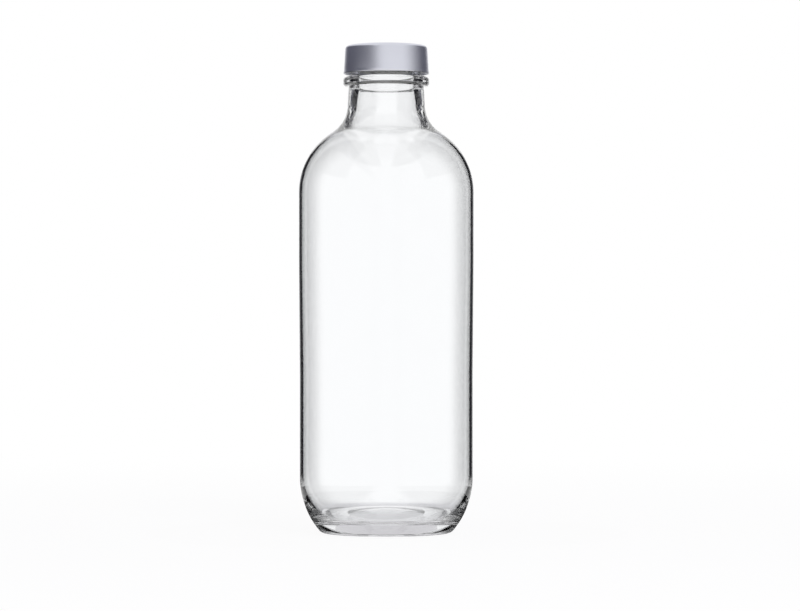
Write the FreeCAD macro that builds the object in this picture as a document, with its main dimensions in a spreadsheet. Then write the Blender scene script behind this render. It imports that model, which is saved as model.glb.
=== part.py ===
"""Clear glass bottle with a satin metal screw cap.

Millimetres, +Z up.  The origin is on the axis of the bottle, in the plane that it stands on.
Every size is a named cell of the sheet "Sizes"; the sketches and features are bound to those cells.
"""

import FreeCAD, Part
import math
import os

import Sketcher

SIZES = [
    # Outside of the glass.  The rim and the body's width set the rest by offsets from them.
    ("rim_height", 240.6, "sealing rim of the mouth"),
    ("lower_body_diameter", 86.5, "straight wall above the heel, where a holder grips"),
    ("body_step", 0.45, "how far the upper wall stands out from the lower one"),
    ("step_bottom_height", 80.0, "top of the straight lower wall"),
    ("step_top_height", 135.0, "bottom of the straight upper wall"),
    ("bearing_width", 3.6, "flat ring that the bottle stands on"),
    ("heel_corner_radius", 3.9, "small rounding between the bearing ring and the heel"),
    ("heel_offset", 1.65, "how far off the axis the round of the heel has its centre"),
    ("heel_height", 28.0, "height at which the heel meets the straight wall"),
    ("shoulder_depth", 70.6, "from the rim down to where the shoulder begins"),
    ("shoulder_offset", 8.4, "how far off the axis the round of the shoulder has its centre"),
    ("neck_sweep_radius", 16.0, "hollow curve from the shoulder into the neck"),
    ("neck_taper", 3.5, "slope of the neck's side, in degrees"),
    ("finish_diameter", 35.2, "glass wall inside the cap, under the thread"),
    ("finish_height", 17.7, "from the underside of the bead up to the rim"),
    ("neck_swell", 1.15, "how far the neck stands out from the finish, just under the bead"),
    ("bead_reach", 3.9, "how far the transfer bead stands out from the finish"),
    ("bead_height", 4.5, "height of the bead"),
    ("bead_lower_radius", 1.7, "rounding of the bead's lower edge"),
    ("bead_upper_radius", 1.25, "rounding of the bead's upper edge"),
    ("rim_outer_radius", 1.1, "outer rounding of the rim"),
    # Underside of the base.
    ("push_up_diameter", 36.0, "round recess in the middle of the base"),
    ("push_up_rise", 2.9, "height of the recess above its own edge"),
    ("push_up_edge_radius", 1.2, "rounding of the recess's edge"),
    ("base_relief", 0.5, "height of the recess's edge above the bearing plane"),
    # Inside of the glass.
    ("lower_wall", 1.65, "thickness of the wall below the step"),
    ("upper_wall", 1.4, "thickness of the wall above the step"),
    ("finish_wall", 3.8, "thickness of the glass in the finish"),
    ("rim_inner_radius", 0.8, "inner rounding of the rim"),
    ("bore_depth", 17.5, "depth of the straight bore below the rim"),
    ("throat_blend_radius", 10.0, "curve from the bore into the throat"),
    ("throat_taper", 9.0, "slope of the throat's side, in degrees"),
    ("throat_sweep_radius", 20.0, "curve from the throat into the shoulder"),
    ("base_thickness", 5.5, "glass over the top of the recess"),
    ("floor_radius", 250.0, "crown of the floor inside"),
    ("floor_fillet", 4.8, "curve from the floor into the heel"),
    ("inner_heel_radius", 31.8, "round of the heel inside"),
    ("inner_heel_height", 28.9, "height at which the heel inside meets the wall"),
    # Cap.
    ("cap_gap", 1.75, "open gap between the bead and the cap"),
    ("thread_room", 1.5, "from the wall of the finish out to the bore of the insert"),
    ("liner_play", 0.3, "play round the sealing disc"),
    ("liner_thickness", 1.2, "sealing disc"),
    ("liner_corner", 0.25, "bevel of the sealing disc's edges"),
    ("insert_wall", 1.65, "wall of the insert, level with the top of the flare"),
    ("insert_roof", 1.1, "roof of the insert"),
    ("insert_mouth_chamfer", 0.4, "bevel at the insert's mouth"),
    ("insert_inset", 1.3, "height of the insert's edge above the shell's edge"),
    ("shell_thickness", 0.3, "sheet of the metal shell"),
    ("shell_play", 0.05, "play between the shell and the insert"),
    ("cap_side_slope", 2.9, "slope of the cap's side, in degrees"),
    ("cap_flare", 0.3, "how far the shell's lower edge turns out"),
    ("cap_flare_height", 2.4, "height of the flare at the shell's lower edge"),
    ("cap_edge_radius", 1.75, "rounding of the shell's top edge"),
]
SIZE = {name: value for name, value, _ in SIZES}

# Places that follow from the sizes, as expressions on the sheet: radii and heights.
LOWER_WALL = "Sizes.lower_body_diameter / 2"
UPPER_WALL = f"{LOWER_WALL} + Sizes.body_step"
SHOULDER_HEIGHT = "Sizes.rim_height - Sizes.shoulder_depth"
FINISH_WALL = "Sizes.finish_diameter / 2"
BEAD_BASE = "Sizes.rim_height - Sizes.finish_height"
BEAD_TOP = f"{BEAD_BASE} + Sizes.bead_height"
RECESS_PEAK = "Sizes.base_relief + Sizes.push_up_rise"
INSERT_BORE = f"{FINISH_WALL} + Sizes.thread_room"
INSERT_WALL = f"{INSERT_BORE} + Sizes.insert_wall"
CAP_SKIRT = f"{INSERT_WALL} + Sizes.shell_play + Sizes.shell_thickness"
CAP_BASE = f"{BEAD_TOP} + Sizes.cap_gap"
INSERT_CEILING = "Sizes.rim_height + Sizes.liner_thickness"
INSERT_TOP = f"{INSERT_CEILING} + Sizes.insert_roof"
CAP_TOP = f"{INSERT_TOP} + Sizes.shell_play + Sizes.shell_thickness"


def make_sheet(doc):
    """The driving dimensions, one row each: name, value, meaning."""
    sheet = doc.addObject("Spreadsheet::Sheet", "Sizes")
    for row, (name, value, meaning) in enumerate(SIZES, start=1):
        sheet.set(f"A{row}", name)
        sheet.set(f"B{row}", str(value))
        sheet.setAlias(f"B{row}", name)
        sheet.set(f"C{row}", meaning)
    doc.recompute()
    return sheet


def make_body(doc, label):
    body = doc.addObject("PartDesign::Body", label)
    body.Label = label
    return body


def origin_feature(body, role):
    """The body's own plane or axis with this role."""
    for feature in body.Origin.OriginFeatures:
        if feature.Role == role:
            return feature
    raise RuntimeError(f"{body.Label} has no {role}")


class Outline:
    """A closed outline on a body's XZ plane: radius across, height up.

    Points are first guesses; the constraints bound to the sheet place them exactly.
    """

    def __init__(self, body, name, radius, height):
        self.sketch = body.newObject("Sketcher::SketchObject", name)
        self.sketch.AttachmentSupport = [(origin_feature(body, "XZ_Plane"), "")]
        self.sketch.MapMode = "FlatFace"
        self.pen = FreeCAD.Vector(radius, height, 0)
        self.first = None
        self.last = None

    def _join(self, index, start, end, smooth):
        if self.last is None:
            self.first = (index, start)
        else:
            kind = "Tangent" if smooth else "Coincident"
            self.rule(kind, *self.last, index, start)
        self.last = (index, end)

    def line(self, radius, height, smooth=False):
        """A straight side from the pen to the given point."""
        tip = FreeCAD.Vector(radius, height, 0)
        index = self.sketch.addGeometry(Part.LineSegment(self.pen, tip))
        self._join(index, 1, 2, smooth)
        self.pen = tip
        return index

    def arc(self, radius, height, centre, clockwise=False, smooth=True):
        """A round side from the pen to the given point about a centre, both as (radius, height)."""
        tip = FreeCAD.Vector(radius, height, 0)
        middle = FreeCAD.Vector(centre[0], centre[1], 0)
        begin = math.atan2(self.pen.y - middle.y, self.pen.x - middle.x)
        finish = math.atan2(tip.y - middle.y, tip.x - middle.x)
        circle = Part.Circle(middle, FreeCAD.Vector(0, 0, 1), (self.pen - middle).Length)
        if clockwise:
            begin, finish = finish, begin
        index = self.sketch.addGeometry(Part.ArcOfCircle(circle, begin, finish))
        start, end = (2, 1) if clockwise else (1, 2)
        self._join(index, start, end, smooth)
        self.pen = tip
        return index

    def close(self):
        self.rule("Coincident", *self.last, *self.first)

    def rule(self, kind, *where):
        """A geometric constraint."""
        return self.sketch.addConstraint(Sketcher.Constraint(kind, *where))

    def size(self, kind, *where, as_written):
        """A dimension, drawn as first guessed and then driven by an expression on the sheet."""
        guess = self._measure(kind, *where)
        index = self.sketch.addConstraint(Sketcher.Constraint(kind, *where, guess))
        self.sketch.setExpression(f"Constraints[{index}]", as_written)
        return index

    def _measure(self, kind, *where):
        if kind == "Radius":
            return self.sketch.Geometry[where[0]].Radius
        if kind == "Angle":
            side = self.sketch.Geometry[where[0]]
            across = side.EndPoint - side.StartPoint
            return math.atan2(across.y, across.x)
        across = self.sketch.getPoint(*where[-2:]) - self.sketch.getPoint(*where[:2])
        return across.x if kind == "DistanceX" else across.y

    def reach(self, index, vertex, radius=None, height=None):
        """Fixes the radius or the height of a point, each as an expression on the sheet."""
        if radius is not None:
            self.size("DistanceX", -1, 1, index, vertex, as_written=radius)
        if height is not None:
            self.size("DistanceY", -1, 1, index, vertex, as_written=height)


def turned(body, kind, outline, name):
    """A Revolution or Groove of an outline round the bottle's axis."""
    feature = body.newObject(f"PartDesign::{kind}", name)
    feature.Profile = outline.sketch
    feature.ReferenceAxis = (outline.sketch, ["V_Axis"])
    feature.Angle = 360.0
    outline.sketch.Visibility = False
    return feature


def glass_outside(body):
    """The outside of the glass: base, heel, wall, shoulder, neck, bead and finish."""
    base = SIZE["base_relief"]
    edge = SIZE["push_up_edge_radius"]
    recess = SIZE["push_up_diameter"] / 2
    rise = SIZE["push_up_rise"]
    dome = (recess ** 2 + rise ** 2) / (2 * rise)
    lower = SIZE["lower_body_diameter"] / 2
    upper = lower + SIZE["body_step"]
    corner = SIZE["heel_corner_radius"]
    heel_middle = SIZE["heel_offset"]
    heel = lower - heel_middle
    heel_height = SIZE["heel_height"]
    rim = SIZE["rim_height"]
    shoulder_middle = SIZE["shoulder_offset"]
    shoulder = upper - shoulder_middle
    shoulder_height = rim - SIZE["shoulder_depth"]
    sweep = SIZE["neck_sweep_radius"]
    finish = SIZE["finish_diameter"] / 2
    neck = finish + SIZE["neck_swell"]
    bead = finish + SIZE["bead_reach"]
    bead_base = rim - SIZE["finish_height"]
    bead_top = bead_base + SIZE["bead_height"]
    low_round = SIZE["bead_lower_radius"]
    top_round = SIZE["bead_upper_radius"]
    rim_round = SIZE["rim_outer_radius"]

    # Where the rounds of the heel touch each other.
    corner_middle = heel_middle + math.sqrt((heel - corner) ** 2 - (heel_height - corner) ** 2)
    share = heel / (heel - corner)
    heel_touch_radius = heel_middle + (corner_middle - heel_middle) * share
    heel_touch_height = heel_height + (corner - heel_height) * share
    bearing = corner_middle - SIZE["bearing_width"]

    # Where the shoulder turns into the sweep of the neck.
    sweep_middle = neck + sweep
    sweep_height = shoulder_height + math.sqrt(
        (shoulder + sweep) ** 2 - (sweep_middle - shoulder_middle) ** 2
    )
    share = shoulder / (shoulder + sweep)
    turn_radius = shoulder_middle + (sweep_middle - shoulder_middle) * share
    turn_height = shoulder_height + (sweep_height - shoulder_height) * share

    outline = Outline(body, "outside", 0, base + rise)
    dome_arc = outline.arc(recess, base, (0, base + rise - dome), clockwise=True)
    edge_arc = outline.arc(recess + edge, base, (recess + edge, base + edge))
    relief = outline.line(bearing, 0, smooth=True)
    ring = outline.line(corner_middle, 0)
    corner_arc = outline.arc(heel_touch_radius, heel_touch_height, (corner_middle, corner))
    heel_arc = outline.arc(lower, heel_height, (heel_middle, heel_height))
    lower_wall = outline.line(lower, SIZE["step_bottom_height"], smooth=True)
    step = outline.line(upper, SIZE["step_top_height"])
    upper_wall = outline.line(upper, shoulder_height)
    shoulder_arc = outline.arc(turn_radius, turn_height, (shoulder_middle, shoulder_height))
    sweep_arc = outline.arc(
        sweep_middle - sweep, sweep_height, (sweep_middle, sweep_height), clockwise=True
    )
    neck_side = outline.line(neck, bead_base, smooth=True)
    bead_floor = outline.line(bead - low_round, bead_base)
    low_arc = outline.arc(bead, bead_base + low_round, (bead - low_round, bead_base + low_round))
    bead_side = outline.line(bead, bead_top - top_round, smooth=True)
    top_arc = outline.arc(bead - top_round, bead_top, (bead - top_round, bead_top - top_round))
    bead_roof = outline.line(finish, bead_top, smooth=True)
    finish_side = outline.line(finish, rim - rim_round)
    rim_arc = outline.arc(finish - rim_round, rim, (finish - rim_round, rim - rim_round))
    land = outline.line(0, rim, smooth=True)
    axis = outline.line(0, base + rise)
    outline.close()

    outline.rule("PointOnObject", axis, 1, -2)
    outline.rule("PointOnObject", axis, 2, -2)
    outline.rule("PointOnObject", dome_arc, 3, -2)
    outline.rule("PointOnObject", relief, 2, -1)
    for side in (ring, bead_floor, bead_roof, land):
        outline.rule("Horizontal", side)
    for side in (lower_wall, upper_wall, bead_side, finish_side):
        outline.rule("Vertical", side)

    outline.reach(axis, 2, height=RECESS_PEAK)
    outline.size("Radius", edge_arc, as_written="Sizes.push_up_edge_radius")
    outline.reach(
        relief, 1,
        radius="Sizes.push_up_diameter / 2 + Sizes.push_up_edge_radius",
        height="Sizes.base_relief",
    )
    outline.size("DistanceX", ring, 1, ring, 2, as_written="Sizes.bearing_width")
    outline.size("Radius", corner_arc, as_written="Sizes.heel_corner_radius")
    outline.reach(heel_arc, 3, radius="Sizes.heel_offset")
    outline.reach(lower_wall, 1, radius=LOWER_WALL, height="Sizes.heel_height")
    outline.reach(step, 1, height="Sizes.step_bottom_height")
    outline.reach(step, 2, radius=UPPER_WALL, height="Sizes.step_top_height")
    outline.reach(upper_wall, 2, height=SHOULDER_HEIGHT)
    outline.reach(shoulder_arc, 3, radius="Sizes.shoulder_offset")
    outline.size("Radius", sweep_arc, as_written="Sizes.neck_sweep_radius")
    outline.size("Angle", neck_side, as_written="90 deg + Sizes.neck_taper * 1 deg")
    outline.reach(neck_side, 2, radius=f"{FINISH_WALL} + Sizes.neck_swell", height=BEAD_BASE)
    outline.size("Radius", low_arc, as_written="Sizes.bead_lower_radius")
    outline.size("Radius", top_arc, as_written="Sizes.bead_upper_radius")
    outline.reach(bead_side, 1, radius=f"{FINISH_WALL} + Sizes.bead_reach")
    outline.reach(bead_roof, 1, height=BEAD_TOP)
    outline.reach(finish_side, 1, radius=FINISH_WALL)
    outline.size("Radius", rim_arc, as_written="Sizes.rim_outer_radius")
    outline.reach(land, 2, height="Sizes.rim_height")
    return outline


def glass_cavity(body):
    """The inside of the glass: floor, heel, wall, shoulder, conical throat and bore."""
    lower = SIZE["lower_body_diameter"] / 2 - SIZE["lower_wall"]
    upper = SIZE["lower_body_diameter"] / 2 + SIZE["body_step"] - SIZE["upper_wall"]
    crown = SIZE["base_relief"] + SIZE["push_up_rise"] + SIZE["base_thickness"]
    floor = SIZE["floor_radius"]
    fillet = SIZE["floor_fillet"]
    heel = SIZE["inner_heel_radius"]
    heel_height = SIZE["inner_heel_height"]
    rim = SIZE["rim_height"]
    bore = SIZE["finish_diameter"] / 2 - SIZE["finish_wall"]
    blend = SIZE["throat_blend_radius"]
    taper = math.radians(SIZE["throat_taper"])
    sweep = SIZE["throat_sweep_radius"]
    rim_round = SIZE["rim_inner_radius"]

    # The fillet lies between the crown of the floor and the round of the heel.
    floor_middle = FreeCAD.Vector(0, crown - floor)
    heel_middle = FreeCAD.Vector(lower - heel, heel_height)
    apart = heel_middle - floor_middle
    along = ((floor + fillet) ** 2 - (heel - fillet) ** 2 + apart.Length ** 2) / (2 * apart.Length)
    aside = math.sqrt((floor + fillet) ** 2 - along ** 2)
    up = FreeCAD.Vector(apart).normalize()
    fillet_middle = floor_middle + up * along + FreeCAD.Vector(up.y, -up.x) * aside
    floor_touch = floor_middle + (fillet_middle - floor_middle).normalize() * floor
    heel_touch = heel_middle + (fillet_middle - heel_middle).normalize() * heel

    # The sweep touches both the throat's side and the round of the shoulder.
    shoulder_middle = FreeCAD.Vector(SIZE["shoulder_offset"], rim - SIZE["shoulder_depth"])
    shoulder = upper - shoulder_middle.x
    blend_middle = FreeCAD.Vector(bore + blend, rim - SIZE["bore_depth"])
    outward = FreeCAD.Vector(math.cos(taper), math.sin(taper))
    downward = FreeCAD.Vector(math.sin(taper), -math.cos(taper))
    throat_top = blend_middle - outward * blend
    away = throat_top + outward * sweep - shoulder_middle
    fall = away.dot(downward)
    depth = -fall - math.sqrt(fall ** 2 - away.Length ** 2 + (shoulder + sweep) ** 2)
    throat_foot = throat_top + downward * depth
    sweep_middle = throat_foot + outward * sweep
    turn = shoulder_middle + (sweep_middle - shoulder_middle).normalize() * shoulder

    outline = Outline(body, "cavity", 0, crown)
    floor_arc = outline.arc(floor_touch.x, floor_touch.y, floor_middle, clockwise=True)
    fillet_arc = outline.arc(heel_touch.x, heel_touch.y, fillet_middle)
    heel_arc = outline.arc(lower, heel_height, heel_middle)
    lower_wall = outline.line(lower, SIZE["step_bottom_height"], smooth=True)
    step = outline.line(upper, SIZE["step_top_height"])
    upper_wall = outline.line(upper, shoulder_middle.y)
    shoulder_arc = outline.arc(turn.x, turn.y, shoulder_middle)
    sweep_arc = outline.arc(throat_foot.x, throat_foot.y, sweep_middle, clockwise=True)
    throat_side = outline.line(throat_top.x, throat_top.y, smooth=True)
    blend_arc = outline.arc(bore, blend_middle.y, blend_middle, clockwise=True)
    bore_side = outline.line(bore, rim - rim_round, smooth=True)
    rim_arc = outline.arc(
        bore + rim_round, rim, (bore + rim_round, rim - rim_round), clockwise=True
    )
    mouth = outline.line(0, rim)
    axis = outline.line(0, crown)
    outline.close()

    outline.rule("PointOnObject", axis, 1, -2)
    outline.rule("PointOnObject", axis, 2, -2)
    outline.rule("PointOnObject", floor_arc, 3, -2)
    outline.rule("Horizontal", mouth)
    for side in (lower_wall, upper_wall, bore_side):
        outline.rule("Vertical", side)

    outline.reach(axis, 2, height=f"{RECESS_PEAK} + Sizes.base_thickness")
    outline.size("Radius", floor_arc, as_written="Sizes.floor_radius")
    outline.size("Radius", fillet_arc, as_written="Sizes.floor_fillet")
    outline.size("Radius", heel_arc, as_written="Sizes.inner_heel_radius")
    outline.reach(
        lower_wall, 1, radius=f"{LOWER_WALL} - Sizes.lower_wall", height="Sizes.inner_heel_height"
    )
    outline.reach(step, 1, height="Sizes.step_bottom_height")
    outline.reach(
        step, 2, radius=f"{UPPER_WALL} - Sizes.upper_wall", height="Sizes.step_top_height"
    )
    outline.reach(upper_wall, 2, height=SHOULDER_HEIGHT)
    outline.reach(shoulder_arc, 3, radius="Sizes.shoulder_offset")
    outline.size("Radius", sweep_arc, as_written="Sizes.throat_sweep_radius")
    outline.size("Angle", throat_side, as_written="90 deg + Sizes.throat_taper * 1 deg")
    outline.size("Radius", blend_arc, as_written="Sizes.throat_blend_radius")
    outline.reach(
        bore_side, 1,
        radius=f"{FINISH_WALL} - Sizes.finish_wall",
        height="Sizes.rim_height - Sizes.bore_depth",
    )
    outline.size("Radius", rim_arc, as_written="Sizes.rim_inner_radius")
    outline.rule("Vertical", rim_arc, 3, rim_arc, 1)
    outline.reach(mouth, 2, height="Sizes.rim_height")
    return outline


def make_glass_bottle(doc):
    """One piece of blown glass, open at the mouth."""
    body = make_body(doc, "glass_bottle")
    turned(body, "Revolution", glass_outside(body), "blank")
    turned(body, "Groove", glass_cavity(body), "hollow")
    return body


def make_cap_liner(doc):
    """Soft sealing disc, clamped between the rim of the glass and the roof of the insert."""
    body = make_body(doc, "cap_liner")
    sketch = body.newObject("Sketcher::SketchObject", "liner_edge")
    sketch.AttachmentSupport = [(origin_feature(body, "XY_Plane"), "")]
    sketch.MapMode = "FlatFace"
    sketch.setExpression("AttachmentOffset.Base.z", "Sizes.rim_height")
    up = FreeCAD.Vector(0, 0, 1)
    radius = SIZE["finish_diameter"] / 2 + SIZE["thread_room"] - SIZE["liner_play"]
    ring = sketch.addGeometry(Part.Circle(FreeCAD.Vector(), up, radius))
    sketch.addConstraint(Sketcher.Constraint("Coincident", ring, 3, -1, 1))
    reach = sketch.addConstraint(Sketcher.Constraint("Radius", ring, radius))
    sketch.setExpression(f"Constraints[{reach}]", f"{INSERT_BORE} - Sizes.liner_play")
    disc = body.newObject("PartDesign::Pad", "liner_disc")
    disc.Profile = sketch
    disc.setExpression("Length", "Sizes.liner_thickness")
    doc.recompute()
    rims = [
        f"Edge{number}"
        for number, edge in enumerate(disc.Shape.Edges, start=1)
        if edge.Closed
    ]
    bevel = body.newObject("PartDesign::Chamfer", "liner_bevel")
    bevel.Base = (disc, rims)
    bevel.setExpression("Size", "Sizes.liner_corner")
    return body


def make_cap_insert(doc):
    """Moulded lining of the cap, which carries the thread and holds the sealing disc."""
    bead_top = SIZE["rim_height"] - SIZE["finish_height"] + SIZE["bead_height"]
    base = bead_top + SIZE["cap_gap"] + SIZE["insert_inset"]
    ceiling = SIZE["rim_height"] + SIZE["liner_thickness"]
    roof = ceiling + SIZE["insert_roof"]
    bore = SIZE["finish_diameter"] / 2 + SIZE["thread_room"]
    bevel = SIZE["insert_mouth_chamfer"]
    outer = bore + SIZE["insert_wall"]
    edge = SIZE["cap_edge_radius"] - SIZE["shell_thickness"]
    slope = math.tan(math.radians(SIZE["cap_side_slope"]))
    shoulder = outer - (roof - edge - base) * slope

    body = make_body(doc, "cap_insert")
    outline = Outline(body, "insert_wall", 0, ceiling)
    underside = outline.line(bore, ceiling)
    bore_side = outline.line(bore, base + bevel)
    bevel_side = outline.line(bore + bevel, base)
    foot = outline.line(outer, base)
    side = outline.line(shoulder, roof - edge)
    edge_arc = outline.arc(shoulder - edge, roof, (shoulder - edge, roof - edge))
    roof_line = outline.line(0, roof, smooth=True)
    axis = outline.line(0, ceiling)
    outline.close()

    outline.rule("PointOnObject", axis, 1, -2)
    outline.rule("PointOnObject", axis, 2, -2)
    outline.rule("Vertical", bore_side)
    for flat in (underside, foot, roof_line):
        outline.rule("Horizontal", flat)
    outline.reach(underside, 2, radius=INSERT_BORE, height=INSERT_CEILING)
    outline.reach(
        bevel_side, 1, height=f"{CAP_BASE} + Sizes.insert_inset + Sizes.insert_mouth_chamfer"
    )
    outline.reach(
        bevel_side, 2,
        radius=f"{INSERT_BORE} + Sizes.insert_mouth_chamfer",
        height=f"{CAP_BASE} + Sizes.insert_inset",
    )
    outline.reach(
        foot, 2,
        radius=f"{INSERT_WALL} + (Sizes.cap_flare_height - Sizes.insert_inset)"
        " * tan(Sizes.cap_side_slope * 1 deg)",
    )
    outline.size("Angle", side, as_written="90 deg + Sizes.cap_side_slope * 1 deg")
    outline.size("Radius", edge_arc, as_written="Sizes.cap_edge_radius - Sizes.shell_thickness")
    outline.reach(roof_line, 2, height=INSERT_TOP)
    turned(body, "Revolution", outline, "insert_form")
    return body


def make_cap_shell(doc):
    """Drawn metal shell: rounded top edge, sloping side and a flared skirt, open below."""
    base = SIZE["rim_height"] - SIZE["finish_height"] + SIZE["bead_height"] + SIZE["cap_gap"]
    roof = SIZE["rim_height"] + SIZE["liner_thickness"] + SIZE["insert_roof"]
    skin = SIZE["shell_play"] + SIZE["shell_thickness"]
    top = roof + skin
    skirt = SIZE["finish_diameter"] / 2 + SIZE["thread_room"] + SIZE["insert_wall"] + skin
    mouth = skirt + SIZE["cap_flare"]
    flare = SIZE["cap_flare_height"]
    flare_bend = flare ** 2 / (2 * SIZE["cap_flare"])
    edge = SIZE["cap_edge_radius"]
    shoulder = skirt - (top - base - flare) * math.tan(math.radians(SIZE["cap_side_slope"]))

    body = make_body(doc, "cap_shell")
    outline = Outline(body, "shell_outside", 0, base)
    rim = outline.line(mouth, base)
    outline.arc(
        skirt, base + flare, (skirt + flare_bend, base + flare), clockwise=True, smooth=False
    )
    side = outline.line(shoulder, top - edge, smooth=True)
    edge_arc = outline.arc(shoulder - edge, top, (shoulder - edge, top - edge))
    roof_line = outline.line(0, top, smooth=True)
    axis = outline.line(0, base)
    outline.close()

    outline.rule("PointOnObject", axis, 1, -2)
    outline.rule("PointOnObject", axis, 2, -2)
    outline.rule("Horizontal", rim)
    outline.rule("Horizontal", roof_line)
    outline.reach(rim, 2, radius=f"{CAP_SKIRT} + Sizes.cap_flare", height=CAP_BASE)
    outline.reach(side, 1, radius=CAP_SKIRT, height=f"{CAP_BASE} + Sizes.cap_flare_height")
    outline.size("Angle", side, as_written="90 deg + Sizes.cap_side_slope * 1 deg")
    outline.size("Radius", edge_arc, as_written="Sizes.cap_edge_radius")
    outline.reach(roof_line, 2, height=CAP_TOP)
    form = turned(body, "Revolution", outline, "shell_form")
    doc.recompute()

    faces = form.Shape.Faces
    mouth_face = min(range(len(faces)), key=lambda number: faces[number].CenterOfMass.z)
    sheet = body.newObject("PartDesign::Thickness", "shell_sheet")
    sheet.Base = (form, [f"Face{mouth_face + 1}"])
    sheet.Reversed = True
    sheet.Mode = 0
    sheet.Join = 0
    sheet.setExpression("Value", "Sizes.shell_thickness")
    return body


MAKERS = (make_glass_bottle, make_cap_liner, make_cap_insert, make_cap_shell)


def check(doc, parts):
    """Stops at an object that failed to compute or a sub-part that isn't one sound solid."""
    for item in doc.Objects:
        if "Invalid" in item.State or "Error" in item.State:
            raise RuntimeError(f"{item.Label} failed: {item.State}")
        if item.TypeId == "Sketcher::SketchObject" and not item.FullyConstrained:
            raise RuntimeError(f"{item.Label} isn't fully constrained")
    for part in parts:
        shape = part.Shape
        if shape.isNull() or not shape.isValid() or len(shape.Solids) != 1:
            raise RuntimeError(f"{part.Label} isn't one valid solid")


def main():
    doc = FreeCAD.newDocument("bottle")
    make_sheet(doc)
    parts = [maker(doc) for maker in MAKERS]
    doc.recompute()
    check(doc, parts)
    os.makedirs("parts", exist_ok=True)
    for part in parts:
        part.Shape.exportStep(f"parts/{part.Label}.step")
        box = part.Shape.optimalBoundingBox()
        print(f"{part.Label}: {part.Shape.Volume / 1000:.2f} cm3, z {box.ZMin:.3f} to {box.ZMax:.3f}")


main()
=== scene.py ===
"""A round glass bottle with a satin screw cap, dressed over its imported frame."""
import math

import bpy
from bpy.props import FloatProperty, FloatVectorProperty, IntProperty, PointerProperty
from bpy.types import Operator, Panel, PropertyGroup
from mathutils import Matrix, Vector


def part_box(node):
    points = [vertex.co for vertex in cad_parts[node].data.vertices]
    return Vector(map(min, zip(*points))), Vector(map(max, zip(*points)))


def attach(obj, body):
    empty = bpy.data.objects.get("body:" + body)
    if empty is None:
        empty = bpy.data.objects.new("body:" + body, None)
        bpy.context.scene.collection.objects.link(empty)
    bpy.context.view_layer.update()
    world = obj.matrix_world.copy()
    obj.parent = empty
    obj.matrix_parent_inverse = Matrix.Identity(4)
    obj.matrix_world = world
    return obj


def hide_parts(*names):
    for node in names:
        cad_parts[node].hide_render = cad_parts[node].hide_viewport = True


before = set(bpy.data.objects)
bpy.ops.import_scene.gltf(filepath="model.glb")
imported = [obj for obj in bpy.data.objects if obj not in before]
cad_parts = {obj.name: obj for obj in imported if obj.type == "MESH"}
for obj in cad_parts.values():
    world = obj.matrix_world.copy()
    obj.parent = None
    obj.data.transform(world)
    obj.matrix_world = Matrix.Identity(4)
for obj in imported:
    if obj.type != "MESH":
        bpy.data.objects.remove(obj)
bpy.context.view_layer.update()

bl_info = {
    "name": "Glass bottle with screw cap",
    "version": (1, 0, 0),
    "blender": (4, 5, 0),
    "location": "View3D > Sidebar > Bottle",
    "description": "Blown glass bottle, screw cap with liner, and the studio they stand in",
    "category": "Add Mesh",
}

MM = 0.001
RIM_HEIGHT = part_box("glass_bottle")[1][2]
BODY_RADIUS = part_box("glass_bottle")[1][0]
CAP_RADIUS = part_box("cap_shell")[1][0]
CAP_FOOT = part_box("cap_shell")[0][2]
CAP_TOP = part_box("cap_shell")[1][2]
INSERT_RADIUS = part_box("cap_insert")[1][0]
INSERT_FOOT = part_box("cap_insert")[0][2]
INSERT_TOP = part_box("cap_insert")[1][2]
LINER_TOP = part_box("cap_liner")[1][2]

# Sizes that the glass shares between its outside, its inside and the two threads.
PUSH_UP_TOP = 3.4 * MM
STEP_FOOT = 80 * MM
STEP_TOP = 135 * MM
SHOULDER_OFFSET = 8.4 * MM
SHOULDER_DEPTH = 70.6 * MM
FINISH_RADIUS = 17.6 * MM
FINISH_HEIGHT = 17.7 * MM
THREAD_DEPTH = 8.9 * MM
RIDGE_SINK = 0.5 * MM
RIDGE_REACH = 1.15 * MM

# Slope of the cap's side, which its shell and its insert share.
CAP_SLOPE = math.tan(math.radians(2.9))

FACING_FRONT = (math.radians(90), 0, 0)
FACING_SIDE = (0, math.radians(90), 0)


def length_setting(name, description, default):
    """A length setting, in metres."""
    return FloatProperty(
        name=name, description=description, default=default, unit="LENGTH", precision=5
    )


def colour_setting(name, description, default):
    """A colour setting."""
    return FloatVectorProperty(
        name=name, description=description, default=default, subtype="COLOR", min=0, max=1
    )


# ---------------------------------------------------------------- settings


class GlassSettings(PropertyGroup):
    facets: IntProperty(
        name="Facets", description="Steps of the glass round its axis", default=224, min=48
    )
    arc_step: FloatProperty(
        name="Arc step", description="Largest turn between two points of a round",
        default=math.radians(2.5), subtype="ANGLE",
    )
    rim_height: length_setting("Rim height", "Height of the sealing rim", RIM_HEIGHT)
    body_radius: length_setting("Body radius", "Radius of the upper wall", BODY_RADIUS)
    body_step: length_setting(
        "Body step", "How far the upper wall stands out from the lower one", 0.45 * MM
    )
    lower_wall: length_setting("Lower wall", "Thickness of the wall below the step", 1.65 * MM)
    upper_wall: length_setting("Upper wall", "Thickness of the wall above the step", 1.4 * MM)
    tint: colour_setting("Tint", "Colour of the clear glass", (0.985, 0.99, 0.995))
    index: FloatProperty(
        name="Refraction", description="Index of refraction of soda-lime glass", default=1.52
    )


class CapSettings(PropertyGroup):
    facets: IntProperty(
        name="Facets", description="Steps of the cap round its axis", default=192, min=48
    )
    sheet: length_setting("Sheet", "Thickness of the metal shell", 0.3 * MM)
    hem: length_setting("Hem", "Radius of the hem rolled at the shell's edge", 0.38 * MM)
    metal: colour_setting("Metal", "Satin finish of the shell", (0.70, 0.712, 0.785))
    plastic: colour_setting("Plastic", "Moulded lining", (0.82, 0.82, 0.80))
    foam: colour_setting("Foam", "Sealing disc", (0.86, 0.86, 0.83))


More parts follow.
